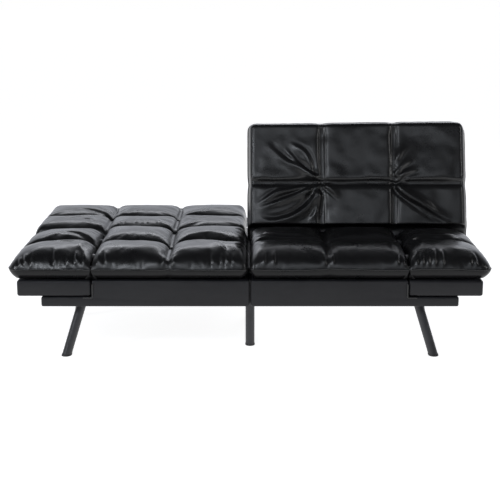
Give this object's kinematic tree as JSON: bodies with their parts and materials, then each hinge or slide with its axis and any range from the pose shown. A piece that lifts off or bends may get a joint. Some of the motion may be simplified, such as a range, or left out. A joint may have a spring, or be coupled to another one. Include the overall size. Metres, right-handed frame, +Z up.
{
  "type": "futon sofa bed",
  "caption": "Low black faux leather futon sofa bed with channelled pads; each half has a back that folds flat and an arm that folds down, on round steel legs.",
  "frame": {"origin": "on the floor, under the middle of the flat bed's footprint, midway between the two halves", "axes": "+X along the sofa's width, to the viewer's right when seen from the front; +Y from the front to the rear; +Z up"},
  "size_m": [1.852, 1.019, 0.823],
  "materials": {
    "pad_leather": "satin",
    "box_leather": "satin",
    "black_steel": "satin",
    "hinge_steel": "satin",
    "plywood": "matte",
    "lining": "matte",
    "foot_plastic": "matte"
  },
  "bodies": {
    "base": {"arm_hinge_front_left_fixed_leaf": "hinge_steel", "arm_hinge_front_right_fixed_leaf": "hinge_steel", "arm_hinge_rear_left_fixed_leaf": "hinge_steel", "arm_hinge_rear_right_fixed_leaf": "hinge_steel", "back_hinge_inner_left_fixed_leaf": "hinge_steel", "back_hinge_inner_left_pin": "hinge_steel", "back_hinge_inner_right_fixed_leaf": "hinge_steel", "back_hinge_inner_right_pin": "hinge_steel", "back_hinge_outer_left_fixed_leaf": "hinge_steel", "back_hinge_outer_left_pin": "hinge_steel", "back_hinge_outer_right_fixed_leaf": "hinge_steel", "back_hinge_outer_right_pin": "hinge_steel", "dust_cover_left": "lining", "dust_cover_right": "lining", "foot_cap_front_centre": "foot_plastic", "foot_cap_front_left": "foot_plastic", "foot_cap_front_right": "foot_plastic", "foot_cap_rear_centre": "foot_plastic", "foot_cap_rear_left": "foot_plastic", "foot_cap_rear_right": "foot_plastic", "leg_front_centre": "black_steel", "leg_front_left": "black_steel", "leg_front_right": "black_steel", "leg_rear_centre": "black_steel", "leg_rear_left": "black_steel", "leg_rear_right": "black_steel", "seat_box_left": "box_leather", "seat_box_right": "box_leather", "seat_deck_left": "plywood", "seat_deck_right": "plywood", "seat_frame_left": "black_steel", "seat_frame_right": "black_steel", "seat_pad_left": "pad_leather", "seat_pad_right": "pad_leather"},
    "left_arm": {"arm_block_left": "box_leather", "arm_cover_left": "lining", "arm_frame_left": "black_steel", "arm_hinge_front_left_moving_leaf": "hinge_steel", "arm_hinge_rear_left_moving_leaf": "hinge_steel", "arm_pad_left": "pad_leather"},
    "right_arm": {"arm_block_right": "box_leather", "arm_cover_right": "lining", "arm_frame_right": "black_steel", "arm_hinge_front_right_moving_leaf": "hinge_steel", "arm_hinge_rear_right_moving_leaf": "hinge_steel", "arm_pad_right": "pad_leather"},
    "left_back": {"back_block_left": "box_leather", "back_cover_left": "lining", "back_frame_left": "black_steel", "back_hinge_inner_left_moving_leaf": "hinge_steel", "back_hinge_outer_left_moving_leaf": "hinge_steel", "back_pad_left": "pad_leather"},
    "right_back": {"back_block_right": "box_leather", "back_cover_right": "lining", "back_frame_right": "black_steel", "back_hinge_inner_right_moving_leaf": "hinge_steel", "back_hinge_outer_right_moving_leaf": "hinge_steel", "back_pad_right": "pad_leather"}
  },
  "joints": [
    {"name": "left_back_fold", "type": "hinge", "parent": "base", "child": "left_back", "pos_m": [0, 0.0164, 0.357], "axis": [1, 0, 0], "range_deg": [0, 70]},
    {"name": "right_back_fold", "type": "hinge", "parent": "base", "child": "right_back", "pos_m": [0, 0.0164, 0.357], "axis": [1, 0, 0], "range_deg": [-70, 0]},
    {"name": "left_arm_fold", "type": "hinge", "parent": "base", "child": "left_arm", "pos_m": [-0.605, 0, 0.375], "axis": [0, 1, 0], "range_deg": [0, 90]},
    {"name": "right_arm_fold", "type": "hinge", "parent": "base", "child": "right_arm", "pos_m": [0.605, 0, 0.375], "axis": [0, -1, 0], "range_deg": [0, 90]}
  ]
}
